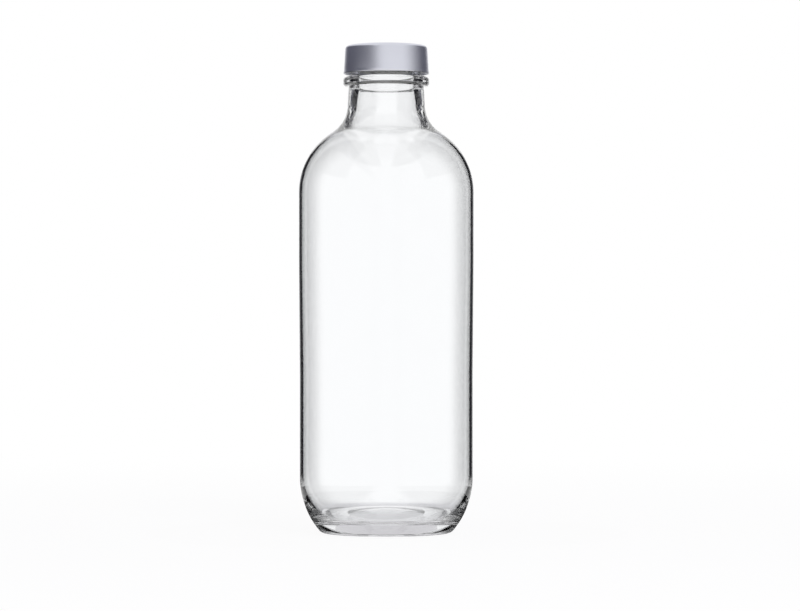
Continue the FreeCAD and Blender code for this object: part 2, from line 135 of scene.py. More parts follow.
class ThreadSettings(PropertyGroup):
    lead: length_setting("Lead", "Rise of the thread in one turn", 25.4 / 6 * MM)
    turns: FloatProperty(name="Turns", description="Length of the thread in turns", default=1.5)
    steps: IntProperty(name="Steps", description="Steps of the thread in one turn", default=72)
    run_out: FloatProperty(
        name="Run-out", description="Turn over which each end fades into the wall",
        default=math.radians(40), subtype="ANGLE",
    )


class StudioSettings(PropertyGroup):
    fill: FloatProperty(
        name="Fill", description="Strength of the plain light all round", default=0.8
    )
    key: FloatProperty(
        name="Key", description="Power of the soft lamp on the right", default=12, unit="POWER"
    )
    under_shade: FloatProperty(
        name="Shade under the foot",
        description="How much shade the floor under the base shows in glass and metal",
        default=0.55,
    )
    round_shade: FloatProperty(
        name="Shade round the foot",
        description="How much shade the floor round the bottle shows to the camera", default=0.06,
    )
    flag_distance: length_setting(
        "Flag distance", "From the axis out to the innermost dark card on each side", 61 * MM
    )
    card_tint: colour_setting("Card tint", "Cast of the dark side cards", (0.75, 0.755, 0.92))
    flag_level: FloatProperty(
        name="Flag level", description="How dark the side cards are", default=0.015
    )
    top_level: FloatProperty(
        name="Top level", description="How dark the side cards of the cap are", default=0.17
    )
    gap_depth: FloatProperty(
        name="Gap depth", description="How far the near cards thin out beside the heel",
        default=0.65,
    )
    back_tint: colour_setting(
        "Back tint", "Cast of the pale card behind the foot", (0.98, 0.965, 1.0)
    )
    back_level: FloatProperty(
        name="Back level", description="How bright the pale card behind the foot is",
        default=0.62,
    )
    foot_flag: length_setting("Foot flag", "Radius of the dark disc round the foot", 120 * MM)
    foot_level: FloatProperty(
        name="Foot level", description="How dark the disc round the foot is", default=0.01
    )


SETTINGS = {
    "bottle_glass": GlassSettings,
    "bottle_cap": CapSettings,
    "bottle_thread": ThreadSettings,
    "bottle_studio": StudioSettings,
}


# ---------------------------------------------------------------- modelling


def select_where(test):
    """Selects the vertices of the mesh in edit mode that pass the test."""
    bpy.ops.object.mode_set(mode="OBJECT")
    mesh = bpy.context.object.data
    for vertex in mesh.vertices:
        vertex.select = test(vertex.co)
    for edge in mesh.edges:
        edge.select = all(mesh.vertices[i].select for i in edge.vertices)
    for face in mesh.polygons:
        face.select = all(mesh.vertices[i].select for i in face.vertices)
    bpy.ops.object.mode_set(mode="EDIT")


def start_edit(name):
    """Names the new object, and leaves it in edit mode with its point selection on."""
    piece = bpy.context.object
    piece.name = name
    piece.data.name = name
    bpy.ops.object.mode_set(mode="EDIT")
    bpy.ops.mesh.select_mode(type="VERT")
    return piece


def add_plane(name, facing, size, middle):
    """An upright rectangle of the given size about its middle, left in edit mode."""
    bpy.ops.object.select_all(action="DESELECT")
    bpy.ops.mesh.primitive_plane_add(size=1, location=(0, 0, 0), rotation=facing)
    bpy.ops.object.transform_apply(location=False, rotation=True, scale=False)
    piece = start_edit(name)
    bpy.ops.mesh.select_all(action="SELECT")
    bpy.ops.transform.resize(value=size)
    bpy.ops.transform.translate(value=middle)
    return piece


def make_active(piece):
    """Selects one object and nothing else."""
    bpy.ops.object.select_all(action="DESELECT")
    piece.select_set(True)
    bpy.context.view_layer.objects.active = piece


def apply_modifier(piece, kind, **settings):
    """Puts a modifier with these settings on a piece, and applies it."""
    modifier = piece.modifiers.new(kind.title(), kind)
    for key, value in settings.items():
        setattr(modifier, key, value)
    bpy.ops.object.modifier_apply(modifier=modifier.name)


def fuse(piece, tool):
    """Joins a tool shape to a piece as one solid, and removes the tool."""
    make_active(piece)
    apply_modifier(piece, "BOOLEAN", operation="UNION", object=tool, solver="EXACT")
    bpy.data.objects.remove(tool)


def finish_smooth(piece, sharp=30):
    """Shades a piece smooth, except over edges that turn by more than sharp degrees."""
    make_active(piece)
    bpy.ops.object.shade_smooth_by_angle(angle=math.radians(sharp))


def dress(piece, material):
    """Gives a piece its one material."""
    piece.data.materials.clear()
    piece.data.materials.append(material)


class Profile:
    """Half a turned shape, drawn point by point: radius along X, height along Z."""

    def __init__(self, name, radius, height, arc_step):
        bpy.ops.object.select_all(action="DESELECT")
        bpy.ops.mesh.primitive_plane_add(size=MM, location=(0, 0, 0))
        self.piece = start_edit(name)
        bpy.ops.mesh.select_all(action="SELECT")
        bpy.ops.mesh.merge(type="CENTER")
        bpy.ops.transform.translate(value=(radius, 0, height))
        self.pen = Vector((radius, height))
        self.arc_step = arc_step

    def line(self, radius, height, steps):
        """A straight side to the given point, in so many steps."""
        step = (Vector((radius, height)) - self.pen) / steps
        for _ in range(steps):
            bpy.ops.mesh.extrude_region_move(
                TRANSFORM_OT_translate={"value": (step.x, 0, step.y)}
            )
        self.pen = Vector((radius, height))

    def arc(self, middle, tip, clockwise=False):
        """A round side to the given point about a middle."""
        middle = Vector(middle)
        tip = Vector(tip)
        begin = self.pen - middle
        finish = tip - middle
        if abs(begin.length - finish.length) > 0.001 * MM:
            raise RuntimeError(f"{self.piece.name}: a round doesn't end where it should, at {tip}")
        turn = math.atan2(finish.y, finish.x) - math.atan2(begin.y, begin.x)
        turn %= 2 * math.pi
        if clockwise:
            turn -= 2 * math.pi
        bpy.ops.mesh.spin(
            steps=max(2, math.ceil(abs(turn) / self.arc_step)), angle=turn,
            center=(middle.x, 0, middle.y), axis=(0, 1, 0),
        )
        self.pen = tip

    def turn_round(self, facets):
        """Spins the profile round the bottle's axis and closes the seam."""
        bpy.ops.mesh.select_all(action="SELECT")
        bpy.ops.mesh.spin(
            steps=facets, angle=2 * math.pi, center=(0, 0, 0), axis=(0, 0, 1)
        )
        bpy.ops.mesh.select_all(action="SELECT")
        bpy.ops.mesh.remove_doubles(threshold=0.002 * MM)
        bpy.ops.mesh.normals_make_consistent(inside=False)
        bpy.ops.object.mode_set(mode="OBJECT")
        return self.piece


def kiss(first, first_radius, second, second_radius):
    """Where two rounds that touch outside each other meet."""
    first, second = Vector(first), Vector(second)
    return first.lerp(second, first_radius / (first_radius + second_radius))


def crossing(first, first_radius, second, second_radius):
    """Where two rounds cross, on the side farther from the axis."""
    first, second = Vector(first), Vector(second)
    gap = second - first
    along = (first_radius ** 2 - second_radius ** 2 + gap.length_squared) / (2 * gap.length)
    aside = math.sqrt(first_radius ** 2 - along ** 2)
    foot = first + gap.normalized() * along
    normal = Vector((gap.y, -gap.x)).normalized()
    return max(foot + normal * aside, foot - normal * aside, key=lambda point: point.x)


def sweep_below(top, slope, sweep, round_middle, round_radius):
    """Foot of a side that slopes out from its top down to a sweep, and the sweep's middle.

    The sweep touches both the side and a round below it.
    """
    outward = Vector((math.cos(slope), math.sin(slope)))
    downward = Vector((math.sin(slope), -math.cos(slope)))
    away = top + outward * sweep - round_middle
    fall = away.dot(downward)
    reach = round_radius + sweep
    depth = -fall - math.sqrt(fall ** 2 - away.length_squared + reach ** 2)
    foot = top + downward * depth
    return foot, foot + outward * sweep


def wind_ridge(name, sunk, crest, foot_width, crest_width, first_height, thread):
    """A closed ridge of even height: its section, wound up by a Screw modifier."""
    middle = (sunk + crest) / 2
    toward_crest = 1 if crest > sunk else -1
    piece = add_plane(
        name, FACING_FRONT, (abs(crest - sunk), 1, foot_width), (middle, 0, first_height)
    )
    select_where(lambda point: (point.x - middle) * toward_crest > 0)
    bpy.ops.transform.resize(
        value=(1, 1, crest_width / foot_width), center_override=(crest, 0, first_height)
    )
    bpy.ops.mesh.bevel(offset=0.3 * MM, segments=3, affect="VERTICES")
    bpy.ops.mesh.select_all(action="SELECT")
    bpy.ops.mesh.delete(type="ONLY_FACE")
    bpy.ops.object.mode_set(mode="OBJECT")
    steps = round(thread.steps * thread.turns)
    apply_modifier(
        piece, "SCREW", axis="Z", angle=2 * math.pi * thread.turns,
        screw_offset=thread.lead * thread.turns, steps=steps, render_steps=steps,
        use_merge_vertices=False,
    )
    bpy.ops.object.mode_set(mode="EDIT")
    bpy.ops.mesh.select_all(action="DESELECT")
    bpy.ops.mesh.select_non_manifold()
    bpy.ops.mesh.fill_holes(sides=0)
    bpy.ops.mesh.select_all(action="SELECT")
    bpy.ops.mesh.normals_make_consistent(inside=False)
    return piece


def run_out_ends(wall, sunk, crest, first_height, thread):
    """Lowers the ridge in edit mode towards both of its ends, until they lie in the wall."""
    middle = (sunk + crest) / 2
    toward_crest = 1 if crest > sunk else -1
    buried = wall - toward_crest * 0.12 * MM
    sweep = 2 * math.pi * thread.turns
    step_angle = 2 * math.pi / thread.steps

    def turn_at(point):
        """How far along the thread a point is, as a turn from its start."""
        wanted = (point.z - first_height) / thread.lead * 2 * math.pi
        angle = math.atan2(point.y, point.x)
        return angle + 2 * math.pi * round((wanted - angle) / (2 * math.pi))

    fades = math.ceil(thread.run_out / step_angle)
    for step in range(fades):
        share = 0.5 - 0.5 * math.cos(math.pi * step / fades)
        height = buried + (crest - buried) * share
        for place in (step * step_angle, sweep - step * step_angle):
            select_where(
                lambda point: abs(turn_at(point) - place) < step_angle / 2
                and (point.xy.length - middle) * toward_crest > 0
            )
            bpy.ops.transform.resize(
                value=(height / crest, height / crest, 1), center_override=(0, 0, 0)
            )


def make_ridge(name, wall, sunk, crest, foot_width, crest_width, first_height, thread):
    """One screw ridge, from the radius it is sunk to, through the wall, to its crest."""
    piece = wind_ridge(name, sunk, crest, foot_width, crest_width, first_height, thread)
    run_out_ends(wall, sunk, crest, first_height, thread)
    bpy.ops.object.mode_set(mode="OBJECT")
    return piece


# ---------------------------------------------------------------- shader maths


class Value:
    """A shader socket that takes part in plain arithmetic."""

    def __init__(self, shader, socket):
        self.shader = shader
        self.socket = socket

    def _math(self, operation, *values, clamp=False):
        return self.shader.node(
            "ShaderNodeMath", {"operation": operation, "use_clamp": clamp}, dict(enumerate(values))
        )

    def __add__(self, other):
        return self._math("ADD", self, other)

    def __radd__(self, other):
        return self._math("ADD", other, self)

    def __sub__(self, other):
        return self._math("SUBTRACT", self, other)

    def __rsub__(self, other):
        return self._math("SUBTRACT", other, self)

    def __mul__(self, other):
        return self._math("MULTIPLY", self, other)

    def __rmul__(self, other):
        return self._math("MULTIPLY", other, self)

    def above(self, other):
        return self._math("GREATER_THAN", self, other)

    def largest(self, other):
        return self._math("MAXIMUM", self, other)

    def size(self):
        return self._math("ABSOLUTE", self)

    def root(self):
        return self._math("SQRT", self)

    def clamped(self):
        return self._math("ADD", self, 0.0, clamp=True)

    def ramp(self, low, high):
        """0 below low and 1 above high, with a smooth rise between them."""
        return self.shader.node(
            "ShaderNodeMapRange", {"interpolation_type": "SMOOTHSTEP", "clamp": True},
            {"Value": self, "From Min": low, "From Max": high},
        )

    def counts(self, first, last):
        """1 where a whole number lies from first to last, both included."""
        return self.above(first - 0.5) * (1.0 - self.above(last + 0.5))


class Shader:
    """The node tree of a material or of the world."""

    def __init__(self, owner):
        owner.use_nodes = True
        self.tree = owner.node_tree
        self.tree.nodes.clear()

    def node(self, kind, settings=None, inputs=None, output=0):
        """Adds a node: its settings first, then values or links for its sockets."""
        made = self.tree.nodes.new(kind)
        for key, value in (settings or {}).items():
            setattr(made, key, value)
        for key, value in (inputs or {}).items():
            if isinstance(value, Value):
                self.tree.links.new(value.socket, made.inputs[key])
            else:
                made.inputs[key].default_value = value
        return Value(self, made.outputs[output]) if made.outputs else made

    def blend(self, factor, first, second):
        """One colour over another, through the Mix node's colour sockets."""
        return self.node(
            "ShaderNodeMix", {"data_type": "RGBA"},
            {"Factor": factor, 6: first, 7: second}, output=2,
        )

    def place(self):
        """The Object output of Texture Coordinate."""
        return self.node("ShaderNodeTexCoord", output=3)

    def stretched(self, place, scale):
        return self.node("ShaderNodeMapping", None, {"Vector": place, "Scale": scale})

    def noise(self, place, scale, detail, roughness=0.5):
        return self.node(
            "ShaderNodeTexNoise", None,
            {"Vector": place, "Scale": scale, "Detail": detail, "Roughness": roughness},
        )

    def axes(self, place):
        split = self.node("ShaderNodeSeparateXYZ", None, {"Vector": place}).socket.node
        return [Value(self, socket) for socket in split.outputs]

    def bump(self, height, distance, strength, under=None):
        inputs = {"Height": height, "Distance": distance, "Strength": strength}
        if under is not None:
            inputs["Normal"] = under
        return self.node("ShaderNodeBump", None, inputs)

    def light_path(self, *names):
        """The named outputs of a Light Path node."""
        outputs = self.node("ShaderNodeLightPath").socket.node.outputs
        return [Value(self, outputs[name]) for name in names]

    def surface(self, shader):
        self.node("ShaderNodeOutputMaterial", None, {"Surface": shader})


def new_material(name):
    """A new material, and its shader to fill in."""
    material = bpy.data.materials.new(name)
    return material, Shader(material)


def dimmed(tint, share=1.0):
    """A colour setting as a socket's value, at a share of its brightness."""
    return (*[level * share for level in tint], 1)


def clear_glass(settings):
    """Polished soda-lime glass, with the faint waves that blowing leaves and a mould seam."""
    material, shader = new_material("clear_glass")
    place = shader.place()
    x, y, z = shader.axes(place)
    waves = shader.noise(shader.stretched(place, (1, 1, 0.35)), 38.0, 1.0)
    film = shader.noise(place, 70.0, 3.0)
    seam_width, above_foot, off_axis = 0.35 * MM, (6 * MM, 9 * MM), 15 * MM
    seam = (1.0 - y.size().ramp(0.0, seam_width)) * x.size().above(off_axis)
    seam = seam * z.ramp(*above_foot)
    below_bead = 1.0 - z.ramp(settings.rim_height - 19 * MM, settings.rim_height - 18 * MM)
    bump = shader.bump(waves, 0.02 * MM, 0.6)
    bump = shader.bump(seam * below_bead, 0.03 * MM, 0.5, under=bump)
    colour = shader.blend(
        film.ramp(0.3, 0.8), dimmed(settings.tint), dimmed(settings.tint, 0.995)
    )
    shader.surface(shader.node("ShaderNodeBsdfPrincipled", None, {
        "Base Color": colour,
        "Roughness": film.ramp(0.55, 0.85) * 0.012,
        "IOR": settings.index,
        "Transmission Weight": 1.0,
        "Normal": bump,
    }))
    return material


def satin_metal(settings):
    """Bead-blasted and anodised sheet: a fine even grain, faint handling marks, and painted
    highlights on the hem and over the top.
    """
    material, shader = new_material("satin_metal")
    place = shader.place()
    z = shader.axes(place)[2]
    grain = shader.noise(place, 5200.0, 2.0, 0.6)
    cloud = shader.noise(place, 55.0, 3.0)
    rub = shader.noise(shader.stretched(place, (1, 1, 9)), 160.0, 4.0, 0.6)
    handled = rub.ramp(0.56, 0.72) * 0.6
    colour = shader.blend(
        cloud.ramp(0.25, 0.75), dimmed(settings.metal, 0.965), dimmed(settings.metal)
    )
    # Painted highlights: the metal's colour is lightened toward a pale grey along the rolled hem at
    # the shell's foot and over the top of the cap.
    hem = 1.0 - z.ramp(CAP_FOOT + 0.3 * MM, CAP_FOOT + 0.9 * MM)
    crown = z.ramp(CAP_TOP - 0.8 * MM, CAP_TOP - 0.1 * MM) * (1.0 - z.ramp(CAP_TOP, CAP_TOP + MM))
    painted_highlight = (0.80, 0.80, 0.83, 1)
    highlighted_colour = shader.blend((hem * 0.5 + crown * 0.15).clamped(), colour, painted_highlight)
    shader.surface(shader.node("ShaderNodeBsdfPrincipled", None, {
        "Base Color": highlighted_colour,
        "Metallic": 1.0,
        "Roughness": 0.30 + cloud * 0.06 + grain * 0.05 - handled * 0.05,
        "Normal": shader.bump(grain, 0.012 * MM, 0.35),
    }))
    return material


def white_plastic(settings):
    """Moulded polypropylene: semi-matt, a little uneven, with a fine moulded grain."""
    material, shader = new_material("white_plastic")
    place = shader.place()
    grain = shader.noise(place, 2400.0, 3.0)
    flow = shader.noise(shader.stretched(place, (1, 1, 3)), 90.0, 2.0)
    colour = shader.blend(
        flow.ramp(0.3, 0.7), dimmed(settings.plastic), dimmed(settings.plastic, 0.96)
    )
    shader.surface(shader.node("ShaderNodeBsdfPrincipled", None, {
        "Base Color": colour,
        "Roughness": 0.36 + flow * 0.12,
        "Subsurface Weight": 0.15,
        "Subsurface Radius": (0.002, 0.002, 0.0018),
        "Normal": shader.bump(grain, 0.02 * MM, 0.4),
    }))
    return material


def foam_liner(settings):
    """Closed-cell foam disc: matt, with small flattened cells."""
    material, shader = new_material("foam_liner")
    place = shader.place()
    cells = shader.node(
        "ShaderNodeTexVoronoi", {"feature": "SMOOTH_F1"}, {"Vector": place, "Scale": 2600.0}
    )
    cloud = shader.noise(place, 120.0, 3.0)
    colour = shader.blend(
        (cells * 0.6 + cloud * 0.4).ramp(0.2, 0.8),
        dimmed(settings.foam), dimmed(settings.foam, 0.92),
    )
    shader.surface(shader.node("ShaderNodeBsdfPrincipled", None, {
        "Base Color": colour,
        "Roughness": 0.75 + cloud * 0.15,
        "Normal": shader.bump(cells, 0.04 * MM, 0.6),
    }))
    return material


# ---------------------------------------------------------------- pieces


def shoulder_centre(settings):
    """Middle of the round of the shoulder, the same inside and out."""
    return Vector((SHOULDER_OFFSET, settings.rim_height - SHOULDER_DEPTH))


def draw_foot(profile, settings):
    """Underside and heel, from the middle of the push-up out to the straight lower wall."""
    lower = settings.body_radius - settings.body_step
    base, recess, edge, bearing_width = 0.5 * MM, 18 * MM, 1.2 * MM, 3.6 * MM
    heel_middle, heel_height, corner = 1.65 * MM, 28 * MM, 3.9 * MM
    heel = lower - heel_middle
    corner_middle = heel_middle + math.sqrt((heel - corner) ** 2 - (heel_height - corner) ** 2)
    touch = Vector((heel_middle, heel_height)).lerp(
        Vector((corner_middle, corner)), heel / (heel - corner)
    )
    bearing = Vector((corner_middle - bearing_width, 0))

    # The recess's edge rounds into the relief, and the dome touches that rounding.
    relief = Vector((recess + edge, base))
    edge_middle = relief + (bearing - relief).orthogonal().normalized() * edge
    drop = edge_middle.y - PUSH_UP_TOP
    dome = (edge_middle.x ** 2 + drop ** 2 - edge ** 2) / (2 * (edge - drop))
    dome_middle = Vector((0, PUSH_UP_TOP - dome))
    profile.arc(dome_middle, kiss(dome_middle, dome, edge_middle, edge), clockwise=True)
    profile.arc(edge_middle, relief)
    profile.line(*bearing, steps=4)
    profile.line(corner_middle, 0, steps=2)
    profile.arc((corner_middle, corner), touch)
    profile.arc((heel_middle, heel_height), (lower, heel_height))


def draw_body(profile, settings):
    """Stepped wall, shoulder and neck, up to the underside of the bead."""
    upper = settings.body_radius
    neck = Vector((18.75 * MM, settings.rim_height - FINISH_HEIGHT))
    sweep, taper = 16 * MM, math.radians(3.5)
    shoulder_middle = shoulder_centre(settings)
    shoulder = upper - shoulder_middle.x
    neck_foot, sweep_middle = sweep_below(neck, taper, sweep, shoulder_middle, shoulder)
    profile.line(upper - settings.body_step, STEP_FOOT, steps=10)
    profile.line(upper, STEP_TOP, steps=10)
    profile.line(upper, shoulder_middle.y, steps=6)
    profile.arc(shoulder_middle, kiss(shoulder_middle, shoulder, sweep_middle, sweep))
    profile.arc(sweep_middle, neck_foot, clockwise=True)
    profile.line(*neck, steps=3)


def draw_finish(profile, settings):
    """Bead and mouth, up to the rim."""
    rim = settings.rim_height
    bead, bead_foot, bead_height = 21.5 * MM, rim - FINISH_HEIGHT, 4.5 * MM
    bead_top = bead_foot + bead_height
    low_round, top_round, rim_round = 1.7 * MM, 1.25 * MM, 1.1 * MM
    profile.line(bead - low_round, bead_foot, steps=2)
    profile.arc((bead - low_round, bead_foot + low_round), (bead, bead_foot + low_round))
    profile.line(bead, bead_top - top_round, steps=2)
    profile.arc((bead - top_round, bead_top - top_round), (bead - top_round, bead_top))
    profile.line(FINISH_RADIUS, bead_top, steps=2)
    profile.line(FINISH_RADIUS, rim - rim_round, steps=8)
    profile.arc((FINISH_RADIUS - rim_round, rim - rim_round), (FINISH_RADIUS - rim_round, rim))


def draw_throat(profile, settings):
    """Inside of the mouth, neck and shoulder, from the rim down to the upper wall."""
    rim = settings.rim_height
    upper = settings.body_radius - settings.upper_wall
    bore, bore_depth, rim_round = 13.8 * MM, 17.5 * MM, 0.8 * MM
    taper, blend, sweep = math.radians(9), 10 * MM, 20 * MM
    shoulder_middle = shoulder_centre(settings)
    shoulder = upper - shoulder_middle.x
    blend_middle = Vector((bore + blend, rim - bore_depth))
    throat_top = blend_middle - Vector((math.cos(taper), math.sin(taper))) * blend
    throat_foot, sweep_middle = sweep_below(throat_top, taper, sweep, shoulder_middle, shoulder)
    profile.line(bore + rim_round, rim, steps=2)
    profile.arc((bore + rim_round, rim - rim_round), (bore, rim - rim_round))
    profile.line(bore, blend_middle.y, steps=10)
    profile.arc(blend_middle, throat_top)
    profile.line(*throat_foot, steps=6)
    profile.arc(sweep_middle, kiss(shoulder_middle, shoulder, sweep_middle, sweep))
    profile.arc(shoulder_middle, (upper, shoulder_middle.y), clockwise=True)


def draw_well(profile, settings):
    """Inside of the wall and the heel, down to the middle of the floor."""
    upper = settings.body_radius - settings.upper_wall
    lower = settings.body_radius - settings.body_step - settings.lower_wall
    heel, heel_height, base_thickness = 31.8 * MM, 28.9 * MM, 5.5 * MM
    floor, floor_top, fillet = 250 * MM, PUSH_UP_TOP + base_thickness, 4.8 * MM
    heel_middle = Vector((lower - heel, heel_height))
    floor_middle = Vector((0, floor_top - floor))
    fillet_middle = crossing(floor_middle, floor + fillet, heel_middle, heel - fillet)
    floor_touch = kiss(floor_middle, floor, fillet_middle, fillet)
    heel_touch = heel_middle + (fillet_middle - heel_middle).normalized() * heel
    profile.line(upper, STEP_TOP, steps=6)
    profile.line(lower, STEP_FOOT, steps=10)
    profile.line(lower, heel_height, steps=10)
    profile.arc(heel_middle, heel_touch, clockwise=True)
    profile.arc(fillet_middle, floor_touch, clockwise=True)
    profile.arc(floor_middle, (0, floor_top))


class BOTTLE_OT_glass(Operator):
    """Turn the blown bottle from its profile and wind the thread round its finish"""

    bl_idname = "bottle.glass"
    bl_label = "Glass"

    def execute(self, context):
        settings = context.scene.bottle_glass
        thread = context.scene.bottle_thread
        profile = Profile("bottle_glass", 0, PUSH_UP_TOP, settings.arc_step)
        for draw in (draw_foot, draw_body, draw_finish, draw_throat, draw_well):
            draw(profile, settings)
        bottle = profile.turn_round(settings.facets)
        ridge = make_ridge(
            "glass_thread", wall=FINISH_RADIUS, sunk=FINISH_RADIUS - RIDGE_SINK,
            crest=FINISH_RADIUS + RIDGE_REACH, foot_width=2.9 * MM, crest_width=1.1 * MM,
            first_height=settings.rim_height - THREAD_DEPTH, thread=thread,
        )
        fuse(bottle, ridge)
        finish_smooth(bottle)
        dress(bottle, clear_glass(settings))
        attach(bottle, "bottle")
        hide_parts("glass_bottle")
        return {"FINISHED"}


class BOTTLE_OT_insert(Operator):
    """Mould the cap's lining with its thread"""

    bl_idname = "bottle.insert"
    bl_label = "Cap insert"

    def execute(self, context):
        settings = context.scene.bottle_cap
        thread = context.scene.bottle_thread
        bore, wall = 19.1 * MM, INSERT_RADIUS
        inner, outer, edge = 0.4 * MM, 0.2 * MM, 1.45 * MM
        shoulder = wall - (INSERT_TOP - edge - INSERT_FOOT) * CAP_SLOPE
        profile = Profile("cap_insert_moulding", 0, LINER_TOP, math.radians(6))
        profile.line(bore - inner, LINER_TOP, steps=3)
        profile.arc((bore - inner, LINER_TOP - inner), (bore, LINER_TOP - inner), clockwise=True)
        profile.line(bore, INSERT_FOOT + inner, steps=6)
        profile.arc((bore + inner, INSERT_FOOT + inner), (bore + inner, INSERT_FOOT))
        profile.line(wall - outer, INSERT_FOOT, steps=2)
        profile.arc((wall - outer, INSERT_FOOT + outer), (wall, INSERT_FOOT + outer))
        profile.line(shoulder, INSERT_TOP - edge, steps=6)
        profile.arc((shoulder - edge, INSERT_TOP - edge), (shoulder - edge, INSERT_TOP))
        profile.line(0, INSERT_TOP, steps=3)
        insert = profile.turn_round(settings.facets)
        glass_thread_start = context.scene.bottle_glass.rim_height - THREAD_DEPTH
        ridge = make_ridge(
            "insert_thread", wall=bore, sunk=bore + RIDGE_SINK, crest=bore - RIDGE_REACH,
            foot_width=3.1 * MM, crest_width=1.2 * MM,
            first_height=glass_thread_start + thread.lead / 2, thread=thread,
        )
        fuse(insert, ridge)
        finish_smooth(insert)
        dress(insert, white_plastic(settings))
        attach(insert, "cap")
        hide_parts("cap_insert")
        return {"FINISHED"}


class BOTTLE_OT_shell(Operator):
    """Draw the metal shell of the cap, with a rounded top and a hemmed, flared skirt"""

    bl_idname = "bottle.shell"
    bl_label = "Cap shell"

    def execute(self, context):
        settings = context.scene.bottle_cap
        sheet, hem = settings.sheet, settings.hem
        edge, flare, flare_height = 1.75 * MM, 0.3 * MM, 2.4 * MM
        skirt = CAP_RADIUS - flare
        shoulder = skirt - (CAP_TOP - CAP_FOOT - flare_height) * CAP_SLOPE
        profile = Profile("cap_shell_sheet", 0, CAP_TOP, math.radians(4))
        profile.line(shoulder - edge, CAP_TOP, steps=4)
        profile.arc((shoulder - edge, CAP_TOP - edge), (shoulder, CAP_TOP - edge), clockwise=True)
        profile.line(skirt, CAP_FOOT + flare_height, steps=6)
        bend = ((flare_height - hem) ** 2 + flare ** 2) / (2 * flare)
        profile.arc((skirt + bend, CAP_FOOT + flare_height), (CAP_RADIUS, CAP_FOOT + hem))
        hem_middle = Vector((CAP_RADIUS - hem, CAP_FOOT + hem))
        hem_end = hem_middle + Vector((-hem, hem * 0.05))
        profile.arc(hem_middle, (hem_middle.x, CAP_FOOT), clockwise=True)
        profile.arc(hem_middle, hem_end, clockwise=True)
        shell = profile.turn_round(settings.facets)
        apply_modifier(shell, "SOLIDIFY", thickness=sheet, offset=-1)
        finish_smooth(shell, sharp=40)
        dress(shell, satin_metal(settings))
        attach(shell, "cap")
        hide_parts("cap_shell")
        return {"FINISHED"}


class BOTTLE_OT_liner(Operator):
    """Give the sealing disc its foam"""

    bl_idname = "bottle.liner"
    bl_label = "Cap liner"

    def execute(self, context):
        dress(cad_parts["cap_liner"], foam_liner(context.scene.bottle_cap))
        return {"FINISHED"}


# ---------------------------------------------------------------- studio


def own_material(stage_object, name):
    """The shader to fill in of a new material on a stage piece."""
    material, shader = new_material(name)
    dress(stage_object, material)
    return shader


def bright_rays(shader):
    """1 for the rays that see the background, straight or in metal and glass."""
    straight, glossy, through = shader.light_path(
        "Is Camera Ray", "Is Glossy Ray", "Is Transmission Ray"
    )
    return straight.largest(glossy).largest(through)


def glow_where(shader, met, tint, strength):
    """A surface that glows evenly where it is met, and lets all other rays through."""
    clear = shader.node("ShaderNodeBsdfTransparent")
    glow = shader.node("ShaderNodeEmission", None, {"Color": (*tint, 1), "Strength": strength})
    shader.surface(shader.node("ShaderNodeMixShader", None, {0: met, 1: clear, 2: glow}))


def hide_from_view(card):
    """Leaves a card to the rays that a surface mirrors or lets through."""
    card.visible_camera = False
    card.visible_diffuse = False
    card.visible_shadow = False


def make_floor(settings):
    """A white floor that near the bottle shows a grey lit floor in part: the bottle's real shadow
    in it, and painted shade round and under the foot.
    """
    floor_radius, floor_edge, just_under = 3.0, 0.5, (0, 0, -0.05 * MM)
    bpy.ops.object.select_all(action="DESELECT")
    bpy.ops.mesh.primitive_circle_add(
        vertices=96, radius=floor_radius, fill_type="NGON", location=(0, 0, 0)
    )
    floor = start_edit("floor")
    bpy.ops.mesh.select_all(action="SELECT")
    bpy.ops.mesh.inset(thickness=floor_edge)
    bpy.ops.transform.translate(value=just_under)
    bpy.ops.object.mode_set(mode="OBJECT")
    shader = own_material(floor, "pale_floor")
    place = shader.place()
    cloth = shader.noise(place, 900.0, 2.0)
    lit = shader.node("ShaderNodeBsdfPrincipled", None, {
        "Base Color": shader.blend(cloth, (0.61, 0.59, 0.67, 1), (0.63, 0.61, 0.69, 1)),
        "Roughness": 0.9,
    })
    white = shader.node("ShaderNodeEmission", None, {"Color": (1, 1, 1, 1), "Strength": 1.0})
    x, y, _ = shader.axes(place)
    reach = (x * x + y * y).root()
    straight = shader.light_path("Is Camera Ray")[0]
    # Painted shade: near the axis, glass and metal see the grey lit floor in place of white, and
    # out to 0.9 m the camera sees a little of it; the bottle's real shadow lies in that lit floor.
    under = settings.under_shade * (1.0 - straight) * (1.0 - reach.ramp(30 * MM, 80 * MM))
    around = settings.round_shade * straight * (1.0 - reach.ramp(0.1, 0.9))
    seen = bright_rays(shader) * (1.0 - (under + around))
    shader.surface(shader.node("ShaderNodeMixShader", None, {0: seen, 1: lit, 2: white}))
    return floor


def make_card(name, distance, settings, level, heights, front, back, surfaces, gap=None):
    """A dark card beside the bottle, met only by rays that a surface has mirrored.

    It thins out towards the front between the two places in front, and towards the back between
    the two in back. Over the four heights in gap it thins out and thickens again, for rays that
    were mirrored once. It is met only by rays that have passed between the first and the last
    number in surfaces of glass surfaces. Places and heights are in millimetres, and the distance
    is out from the axis.
    """
    foot, top = heights[0] * MM, heights[1] * MM
    near, far = front[0] * MM, back[1] * MM
    card = add_plane(
        name, FACING_SIDE, (1, far - near, top - foot),
        (distance, (near + far) / 2, (foot + top) / 2),
    )
    bpy.ops.object.mode_set(mode="OBJECT")
    shader = own_material(card, name)
    mirrored, passed = shader.light_path("Glossy Depth", "Transmission Depth")
    _, y, z = shader.axes(shader.place())
    met = mirrored.above(0.5) * passed.counts(*surfaces)
    met = met * y.ramp(front[0] * MM, front[1] * MM)
    met = met * (1.0 - y.ramp(back[0] * MM, back[1] * MM))
    if gap:
        thin = z.ramp(gap[0] * MM, gap[1] * MM) * (1.0 - z.ramp(gap[2] * MM, gap[3] * MM))
        once = 1.0 - mirrored.above(1.5)
        met = met * (1.0 - settings.gap_depth * thin * once)
    glow_where(shader, met, settings.card_tint, level)
    hide_from_view(card)
    return card


